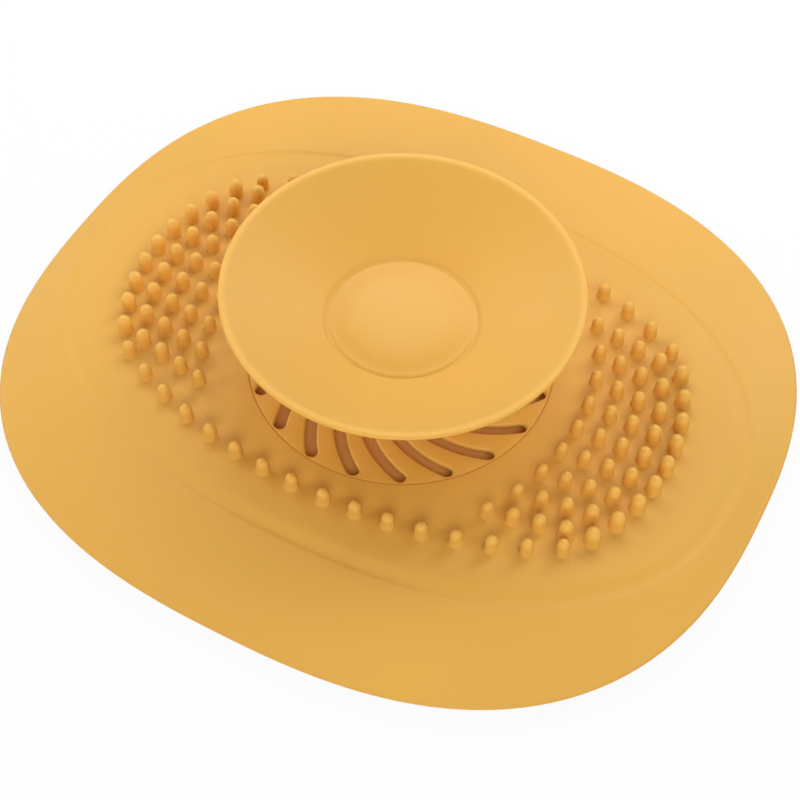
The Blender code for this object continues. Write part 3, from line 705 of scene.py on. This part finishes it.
def build_stem(material):
    """The round stem with its flat head, which sits under the cap."""
    bm = spun([
        (0.0, STEM_TOP, 0.0),
        (STEM_HEAD_RADIUS, STEM_TOP, SMALL_ROUND),
        (STEM_HEAD_RADIUS, STEM_TOP - STEM_HEAD_THICKNESS, SMALL_ROUND),
        (STEM_RADIUS, STEM_TOP - STEM_HEAD_THICKNESS, 0.0),
        (STEM_RADIUS, STEM_BOTTOM, SMALL_ROUND),
        (0.0, STEM_BOTTOM, 0.0),
    ], closed=False, steps=SMALL_TURN_STEPS)
    add_piece("round_stem", bm, material, "lift", "stem")


def build_bush(material):
    """The soft bush in the plate's boss, which the stem slides in."""
    bm = spun([
        (STEM_RADIUS + GAP, BUSH_TOP, SLIGHT_ROUND),
        (BUSH_COLLAR_RADIUS, BUSH_TOP, SOFT_ROUND),
        (BUSH_COLLAR_RADIUS, BUSH_COLLAR_BOTTOM, SLIGHT_ROUND),
        (BUSH_RADIUS, BUSH_COLLAR_BOTTOM, 0.0),
        (BUSH_RADIUS, BUSH_BOTTOM, SLIGHT_ROUND),
        (STEM_RADIUS + GAP, BUSH_BOTTOM, SLIGHT_ROUND),
    ], steps=SMALL_TURN_STEPS)
    add_piece("soft_bush", bm, material, "base", "stem_bush")


def build_disc(material):
    """The stopper disc under the plate, with its sealing lip."""
    def top_at(radius):
        """Height of the disc's top, a small gap under the dished plate."""
        return PLATE_TOP - plate_drop(radius) - PLATE_THICKNESS - GAP

    lip_inner = DISC_RADIUS - DISC_LIP_WIDTH
    lip_outer = disc_high.x + DISC_LIP_FLARE
    rim_bottom = top_at(DISC_RADIUS) - DISC_THICKNESS
    lip_bottom = rim_bottom - DISC_LIP_DROP
    bm = spun([
        (DISC_BORE_RADIUS, DISC_TOP, 0.0),
        (HUB_FLAT_RADIUS, DISC_TOP, 0.0),
        (DISC_RADIUS, top_at(DISC_RADIUS), SHOULDER_ROUND),
        (DISC_RADIUS + DISC_SHOULDER_REACH, top_at(DISC_RADIUS) - DISC_SHOULDER_DROP, SOFT_ROUND),
        (lip_outer, lip_bottom + DISC_LIP_EDGE, SLIGHT_ROUND),
        (lip_outer, lip_bottom, SLIGHT_ROUND),
        (lip_inner, lip_bottom, FULL_ROUND),
        (lip_inner, top_at(lip_inner) - DISC_THICKNESS, SOFT_ROUND),
        (HUB_FLAT_RADIUS, DISC_TOP - DISC_THICKNESS, 0.0),
        (DISC_HUB_RADIUS, DISC_TOP - DISC_THICKNESS, SOFT_ROUND),
        (DISC_HUB_RADIUS, DISC_HUB_BOTTOM, SOFT_ROUND),
        (DISC_POCKET_RADIUS, DISC_HUB_BOTTOM, SMALL_ROUND),
        (DISC_POCKET_RADIUS, DISC_POCKET_TOP, 0.0),
        (DISC_BORE_RADIUS, DISC_POCKET_TOP, 0.0),
    ])
    add_piece("soft_stopper_disc", bm, material, "lift", "stopper_disc")


def new_group(name, inputs, outputs):
    """An empty shader node group with named sockets, and its two end nodes."""
    group = bpy.data.node_groups.new(name, "ShaderNodeTree")
    for socket, kind, value in inputs:
        made = group.interface.new_socket(name=socket, in_out="INPUT", socket_type=kind)
        if value is not None:
            made.default_value = value
    for socket, kind in outputs:
        group.interface.new_socket(name=socket, in_out="OUTPUT", socket_type=kind)
    return group, group.nodes.new("NodeGroupInput"), group.nodes.new("NodeGroupOutput")


def add_noise(group, vector, scale, detail):
    """A noise pattern between 0 and 1."""
    noise = group.nodes.new("ShaderNodeTexNoise")
    noise.inputs["Scale"].default_value = scale
    noise.inputs["Detail"].default_value = detail
    group.links.new(vector, noise.inputs["Vector"])
    return noise.outputs["Fac"]


def add_range(group, value, low, high):
    """Maps a value between 0 and 1 onto a range."""
    node = group.nodes.new("ShaderNodeMapRange")
    node.inputs["To Min"].default_value = low
    node.inputs["To Max"].default_value = high
    group.links.new(value, node.inputs["Value"])
    return node.outputs["Result"]


def add_math(group, operation, first, second):
    """One step of arithmetic on two values, each a number or another node's output."""
    node = group.nodes.new("ShaderNodeMath")
    node.operation = operation
    for socket, value in zip(node.inputs, (first, second)):
        if isinstance(value, float):
            socket.default_value = value
        else:
            group.links.new(value, socket)
    return node.outputs["Value"]


def moulded_surface():
    """Moulded silicone or plastic: faint clouds in the colour, the mould's fine grain, and a painted
    highlight that lightens the colour where a mask asks for it.
    """
    group, start, end = new_group(
        "moulded_surface",
        [("Coordinates", "NodeSocketVector", None),
         ("Colour", "NodeSocketColor", (*SILICONE, 1.0)),
         ("Clouds", "NodeSocketFloat", 0.05),
         ("Roughness", "NodeSocketFloat", 0.5),
         ("Grain", "NodeSocketFloat", 1.0),
         ("Highlight And Polish", "NodeSocketFloat", 0.0),
         ("Painted Highlight", "NodeSocketFloat", 0.0)],
        [("Colour", "NodeSocketColor"), ("Roughness", "NodeSocketFloat"), ("Height", "NodeSocketFloat")])
    place = start.outputs["Coordinates"]
    clouds = add_noise(group, place, CLOUD_SCALE, 3.0)
    specks = add_noise(group, place, SPECK_SCALE, 2.0)
    grain = add_noise(group, place, GRAIN_SCALE, 2.0)
    ripple = add_noise(group, place, RIPPLE_SCALE, 2.0)
    cloudy = add_math(group, "MULTIPLY", add_range(group, clouds, -1.0, 1.0), start.outputs["Clouds"])
    speckled = add_range(group, specks, -SPECK_TINT, SPECK_TINT)
    # Painted highlight: the colour is lifted by this much where the band's mask is on
    lift = add_math(group, "MULTIPLY", start.outputs["Highlight And Polish"], start.outputs["Painted Highlight"])
    uneven_colour = add_math(group, "ADD", cloudy, speckled)
    level = add_math(group, "ADD", add_math(group, "ADD", uneven_colour, lift), 1.0)
    tint = group.nodes.new("ShaderNodeHueSaturation")
    group.links.new(start.outputs["Colour"], tint.inputs["Color"])
    group.links.new(level, tint.inputs["Value"])
    group.links.new(tint.outputs["Color"], end.inputs["Colour"])
    rippled = add_range(group, ripple, -RIPPLE_ROUGHNESS, RIPPLE_ROUGHNESS)
    specked = add_range(group, specks, -SPECK_ROUGHNESS, SPECK_ROUGHNESS)
    uneven = add_math(group, "ADD", rippled, specked)
    polish = add_math(group, "MULTIPLY", start.outputs["Highlight And Polish"], -EDGE_POLISH)
    rough = add_math(group, "ADD", add_math(group, "ADD", start.outputs["Roughness"], uneven), polish)
    group.links.new(rough, end.inputs["Roughness"])
    fine = add_math(group, "MULTIPLY", grain, start.outputs["Grain"])
    waves = add_math(group, "MULTIPLY", ripple, RIPPLE_HEIGHT)
    group.links.new(add_math(group, "ADD", fine, waves), end.inputs["Height"])
    return group


def highlight_and_polish_mask():
    """A mask that rises from 0 to 1 with the distance from the stem's axis, or with height: it marks the
    band where a highlight is painted into the colour and the surface is made smoother.
    """
    group, start, end = new_group(
        "highlight_and_polish_mask",
        [("Coordinates", "NodeSocketVector", None),
         ("By Height", "NodeSocketFloat", 0.0),
         ("Start", "NodeSocketFloat", 0.0),
         ("End", "NodeSocketFloat", 1.0)],
        [("Mask", "NodeSocketFloat")])
    parts = group.nodes.new("ShaderNodeSeparateXYZ")
    group.links.new(start.outputs["Coordinates"], parts.inputs["Vector"])
    squares = [add_math(group, "MULTIPLY", parts.outputs[axis], parts.outputs[axis]) for axis in "XY"]
    radius = add_math(group, "SQRT", add_math(group, "ADD", *squares), 0.0)
    measure = group.nodes.new("ShaderNodeMix")
    measure.data_type = "FLOAT"
    group.links.new(start.outputs["By Height"], measure.inputs["Factor"])
    group.links.new(radius, measure.inputs["A"])
    group.links.new(parts.outputs["Z"], measure.inputs["B"])
    rise = group.nodes.new("ShaderNodeMapRange")
    rise.interpolation_type = "SMOOTHSTEP"
    group.links.new(measure.outputs["Result"], rise.inputs["Value"])
    group.links.new(start.outputs["Start"], rise.inputs["From Min"])
    group.links.new(start.outputs["End"], rise.inputs["From Max"])
    group.links.new(rise.outputs["Result"], end.inputs["Mask"])
    return group


def add_highlight_and_polish(material, mask, by_height, low, high, lift):
    """Paints a highlight into a moulded material's colour, and makes it smoother, in a band of height or
    of distance from the stem's axis.
    """
    tree = material.node_tree
    surface = next(node for node in tree.nodes if node.type == "GROUP")
    coordinates = next(node for node in tree.nodes if node.type == "TEX_COORD")
    edge = tree.nodes.new("ShaderNodeGroup")
    edge.node_tree = mask
    edge.inputs["By Height"].default_value = by_height
    edge.inputs["Start"].default_value = low
    edge.inputs["End"].default_value = high
    surface.inputs["Painted Highlight"].default_value = lift
    tree.links.new(coordinates.outputs["Object"], edge.inputs["Coordinates"])
    tree.links.new(edge.outputs["Mask"], surface.inputs["Highlight And Polish"])


def new_material(name):
    """An empty material and its Principled shader."""
    made = bpy.data.materials.new(name)
    made.use_nodes = True
    nodes = made.node_tree.nodes
    nodes.clear()
    shader = nodes.new("ShaderNodeBsdfPrincipled")
    output = nodes.new("ShaderNodeOutputMaterial")
    made.node_tree.links.new(shader.outputs["BSDF"], output.inputs["Surface"])
    return made, shader


def moulded_material(name, group, colour, clouds, roughness, grain, bump, softness):
    """A moulded material: colour, roughness and bump come from the shared surface group."""
    made, shader = new_material(name)
    tree = made.node_tree
    coordinates = tree.nodes.new("ShaderNodeTexCoord")
    surface = tree.nodes.new("ShaderNodeGroup")
    surface.node_tree = group
    surface.inputs["Colour"].default_value = (*colour, 1.0)
    surface.inputs["Clouds"].default_value = clouds
    surface.inputs["Roughness"].default_value = roughness
    surface.inputs["Grain"].default_value = grain
    height = tree.nodes.new("ShaderNodeBump")
    height.inputs["Strength"].default_value = bump
    height.inputs["Distance"].default_value = BUMP_DEPTH
    tree.links.new(coordinates.outputs["Object"], surface.inputs["Coordinates"])
    tree.links.new(surface.outputs["Colour"], shader.inputs["Base Color"])
    tree.links.new(surface.outputs["Roughness"], shader.inputs["Roughness"])
    tree.links.new(surface.outputs["Height"], height.inputs["Height"])
    tree.links.new(height.outputs["Normal"], shader.inputs["Normal"])
    shader.inputs["IOR"].default_value = MOULDED_IOR
    shader.inputs["Specular IOR Level"].default_value = MOULDED_SPECULAR
    shader.inputs["Subsurface Weight"].default_value = softness
    shader.inputs["Subsurface Radius"].default_value = LIGHT_REACH
    shader.inputs["Subsurface Scale"].default_value = LIGHT_REACH_SCALE
    return made


def steel_material():
    """Turned stainless steel: rings round the screw's axis, and small scuffs."""
    made, shader = new_material("stainless_steel_finish")
    tree = made.node_tree
    coordinates = tree.nodes.new("ShaderNodeTexCoord")
    rings = tree.nodes.new("ShaderNodeTexWave")
    rings.wave_type = "RINGS"
    rings.rings_direction = "Z"
    rings.inputs["Scale"].default_value = STEEL_RING_SCALE
    rings.inputs["Distortion"].default_value = STEEL_RING_WAVER
    scuffs = tree.nodes.new("ShaderNodeTexNoise")
    scuffs.inputs["Scale"].default_value = STEEL_SCUFF_SCALE
    rough = tree.nodes.new("ShaderNodeMapRange")
    rough.inputs["To Min"].default_value = STEEL_SMOOTHEST
    rough.inputs["To Max"].default_value = STEEL_ROUGHEST
    tone = tree.nodes.new("ShaderNodeMix")
    tone.data_type = "RGBA"
    tone.inputs["A"].default_value = (*STEEL, 1.0)
    tone.inputs["B"].default_value = (*[STEEL_SCUFF_SHARE * value for value in STEEL], 1.0)
    height = tree.nodes.new("ShaderNodeBump")
    height.inputs["Strength"].default_value = STEEL_BUMP
    height.inputs["Distance"].default_value = STEEL_BUMP_DEPTH
    tree.links.new(coordinates.outputs["Object"], rings.inputs["Vector"])
    tree.links.new(coordinates.outputs["Object"], scuffs.inputs["Vector"])
    tree.links.new(scuffs.outputs["Fac"], rough.inputs["Value"])
    tree.links.new(scuffs.outputs["Fac"], tone.inputs["Factor"])
    tree.links.new(rings.outputs["Fac"], height.inputs["Height"])
    tree.links.new(tone.outputs["Result"], shader.inputs["Base Color"])
    tree.links.new(rough.outputs["Result"], shader.inputs["Roughness"])
    tree.links.new(height.outputs["Normal"], shader.inputs["Normal"])
    shader.inputs["Metallic"].default_value = 1.0
    return made


def paper_material():
    """White floor paper: it keeps shadows, and is lifted to white where the camera sees it.

    The lift ends just inside the mat's outline, so the floor under the mat stays in its shade.
    """
    made = bpy.data.materials.new("white_paper")
    made.use_nodes = True
    tree = made.node_tree
    tree.nodes.clear()
    paper = tree.nodes.new("ShaderNodeBsdfDiffuse")
    paper.inputs["Color"].default_value = (*PAPER, 1.0)
    glow = tree.nodes.new("ShaderNodeEmission")
    glow.inputs["Color"].default_value = (*WHITE, 1.0)
    rays = tree.nodes.new("ShaderNodeLightPath")
    seen = add_math(tree, "MAXIMUM", rays.outputs["Is Camera Ray"], rays.outputs["Is Glossy Ray"])
    place = tree.nodes.new("ShaderNodeSeparateXYZ")
    coordinates = tree.nodes.new("ShaderNodeTexCoord")
    tree.links.new(coordinates.outputs["Object"], place.inputs["Vector"])
    powers = []
    for axis, half in (("X", MAT_HALF_LENGTH), ("Y", MAT_HALF_WIDTH)):
        distance = add_math(tree, "ABSOLUTE", place.outputs[axis], 0.0)
        powers.append(add_math(tree, "POWER", add_math(tree, "DIVIDE", distance, half), MAT_POWER))
    reach = add_math(tree, "ADD", *powers)
    outside = tree.nodes.new("ShaderNodeMapRange")
    outside.interpolation_type = "SMOOTHSTEP"
    outside.inputs["From Min"].default_value = SHADE_START
    outside.inputs["From Max"].default_value = SHADE_END
    tree.links.new(reach, outside.inputs["Value"])
    seen_outside = add_math(tree, "MULTIPLY", seen, outside.outputs["Result"])
    lifted = add_math(tree, "MULTIPLY", seen_outside, FLOOR_WHITE)
    mixed = tree.nodes.new("ShaderNodeMixShader")
    output = tree.nodes.new("ShaderNodeOutputMaterial")
    tree.links.new(lifted, mixed.inputs["Fac"])
    tree.links.new(paper.outputs["BSDF"], mixed.inputs[1])
    tree.links.new(glow.outputs["Emission"], mixed.inputs[2])
    tree.links.new(mixed.outputs["Shader"], output.inputs["Surface"])
    return made


def build_floor():
    """A wide sheet of white paper under the part."""
    bm = bmesh.new()
    bmesh.ops.create_grid(bm, x_segments=1, y_segments=1, size=FLOOR_HALF)
    bmesh.ops.translate(bm, verts=bm.verts, vec=(0.0, 0.0, -FLOOR_DROP))
    mesh = as_mesh(bm, "floor_paper")
    mesh.materials.append(paper_material())
    floor = bpy.data.objects.new("floor_paper", mesh)
    bpy.context.scene.collection.objects.link(floor)


def view_axes():
    """The camera's right, up and back directions, before its roll."""
    back = Vector((
        math.sin(VIEW_AZIMUTH) * math.cos(VIEW_ELEVATION),
        -math.cos(VIEW_AZIMUTH) * math.cos(VIEW_ELEVATION),
        math.sin(VIEW_ELEVATION)))
    right = Vector((math.cos(VIEW_AZIMUTH), math.sin(VIEW_AZIMUTH), 0.0))
    return right, back.cross(right), back


def build_camera():
    """The camera in the photograph's place, with its roll."""
    right, up, back = view_axes()
    rolled_right = math.cos(VIEW_ROLL) * right + math.sin(VIEW_ROLL) * up
    rolled_up = math.cos(VIEW_ROLL) * up - math.sin(VIEW_ROLL) * right
    turn = Matrix((rolled_right, rolled_up, back)).transposed().to_4x4()
    data = bpy.data.cameras.new("view")
    data.sensor_width = SENSOR
    data.lens = SENSOR * FOCAL_PIXELS / PHOTO_SIDE
    data.clip_start = CLIP_NEAR
    data.clip_end = CLIP_FAR
    camera = bpy.data.objects.new("view", data)
    camera.matrix_world = Matrix.Translation(VIEW_AIM + back * VIEW_DISTANCE) @ turn
    bpy.context.scene.collection.objects.link(camera)
    bpy.context.scene.camera = camera


def add_softbox(name, right, back, height, size, power):
    """A square lamp placed from the camera's point of view, facing the plate."""
    across = Vector((math.cos(VIEW_AZIMUTH), math.sin(VIEW_AZIMUTH), 0.0))
    away = Vector((-math.sin(VIEW_AZIMUTH), math.cos(VIEW_AZIMUTH), 0.0))
    place = right * across + back * away + Vector((0.0, 0.0, height))
    data = bpy.data.lights.new(name, "AREA")
    data.shape = "SQUARE"
    data.size = size
    data.energy = power
    lamp = bpy.data.objects.new(name, data)
    lamp.location = place
    lamp.rotation_euler = place.to_track_quat("Z", "Y").to_euler()
    lamp.visible_camera = False
    bpy.context.scene.collection.objects.link(lamp)


def build_world(strength):
    """Even light from all round, and plain white where the camera looks past the floor."""
    world = bpy.data.worlds.new("studio")
    world.use_nodes = True
    tree = world.node_tree
    tree.nodes.clear()
    light = tree.nodes.new("ShaderNodeBackground")
    light.inputs["Color"].default_value = (*WHITE, 1.0)
    light.inputs["Strength"].default_value = strength
    backdrop = tree.nodes.new("ShaderNodeBackground")
    backdrop.inputs["Color"].default_value = (*WHITE, 1.0)
    rays = tree.nodes.new("ShaderNodeLightPath")
    mixed = tree.nodes.new("ShaderNodeMixShader")
    output = tree.nodes.new("ShaderNodeOutputWorld")
    tree.links.new(rays.outputs["Is Camera Ray"], mixed.inputs["Fac"])
    tree.links.new(light.outputs["Background"], mixed.inputs[1])
    tree.links.new(backdrop.outputs["Background"], mixed.inputs[2])
    tree.links.new(mixed.outputs["Shader"], output.inputs["Surface"])
    bpy.context.scene.world = world


def build_lights():
    """Soft lamps all round, and a little even light.

    Each lamp has its place to the right of the stem, behind it and above the floor, then its side
    and its power.
    """
    add_softbox("back_low_softbox", 0.0, 0.28, 0.20, SMALL_SOFTBOX, BACK_LOW_POWER)
    add_softbox("back_high_softbox", 0.0, 0.20, 0.32, SMALL_SOFTBOX, BACK_HIGH_POWER)
    add_softbox("back_near_right_softbox", 0.22, 0.22, 0.22, SMALL_SOFTBOX, BACK_NEAR_RIGHT_POWER)
    add_softbox("back_left_softbox", -0.45, 0.45, 0.40, SOFTBOX, BACK_LEFT_POWER)
    add_softbox("back_right_softbox", 0.45, 0.45, 0.40, SOFTBOX, BACK_RIGHT_POWER)
    add_softbox("left_softbox", -0.68, 0.0, 0.28, SOFTBOX, LEFT_POWER)
    add_softbox("right_high_softbox", 0.50, 0.0, 0.60, SOFTBOX, RIGHT_HIGH_POWER)
    add_softbox("front_softbox", 0.0, -0.65, 0.38, LARGE_SOFTBOX, FRONT_POWER)
    add_softbox("front_right_softbox", 0.45, -0.45, 0.45, SOFTBOX, FRONT_RIGHT_POWER)
    build_world(WORLD_LIGHT)


def main():
    """Makes the materials, the pieces in their places, and the studio round them."""
    surface = moulded_surface()
    mask = highlight_and_polish_mask()
    silicone = moulded_material(
        "mustard_silicone", surface, SILICONE,
        clouds=0.03, roughness=0.50, grain=1.0, bump=0.25, softness=0.05)
    # Painted highlight on the nubs' tips, lighter with height
    add_highlight_and_polish(silicone, mask, by_height=1.0, low=TIP_HIGHLIGHT_START, high=TIP_HIGHLIGHT_END, lift=0.14)
    # A copy of the silicone for the cup alone, with a painted highlight on its rim
    cup_silicone = moulded_material(
        "mustard_cup_silicone", surface, SILICONE,
        clouds=0.03, roughness=0.50, grain=1.0, bump=0.25, softness=0.05)
    add_highlight_and_polish(cup_silicone, mask, by_height=0.0, low=RIM_HIGHLIGHT_START, high=RIM_HIGHLIGHT_END, lift=0.10)
    # The disc's colour is partly its own browner tone and partly painted shade of the slots' depths
    brown_silicone = moulded_material(
        "brown_silicone", surface, DISC_BROWN_SHADED,
        clouds=0.03, roughness=0.50, grain=1.0, bump=0.25, softness=0.10)
    plastic = moulded_material(
        "mustard_plastic", surface, PLASTIC,
        clouds=0.02, roughness=0.32, grain=0.6, bump=0.15, softness=0.03)

    build_mat(silicone)
    build_plate(plastic)
    build_bush(silicone)
    build_stem(plastic)
    build_cup(cup_silicone)
    build_cap(plastic)
    build_disc(brown_silicone)
    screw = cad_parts["stem_screw"].data
    screw.materials.clear()
    screw.materials.append(steel_material())

    build_floor()
    build_camera()
    build_lights()
    bpy.context.scene.view_settings.view_transform = "Standard"


main()
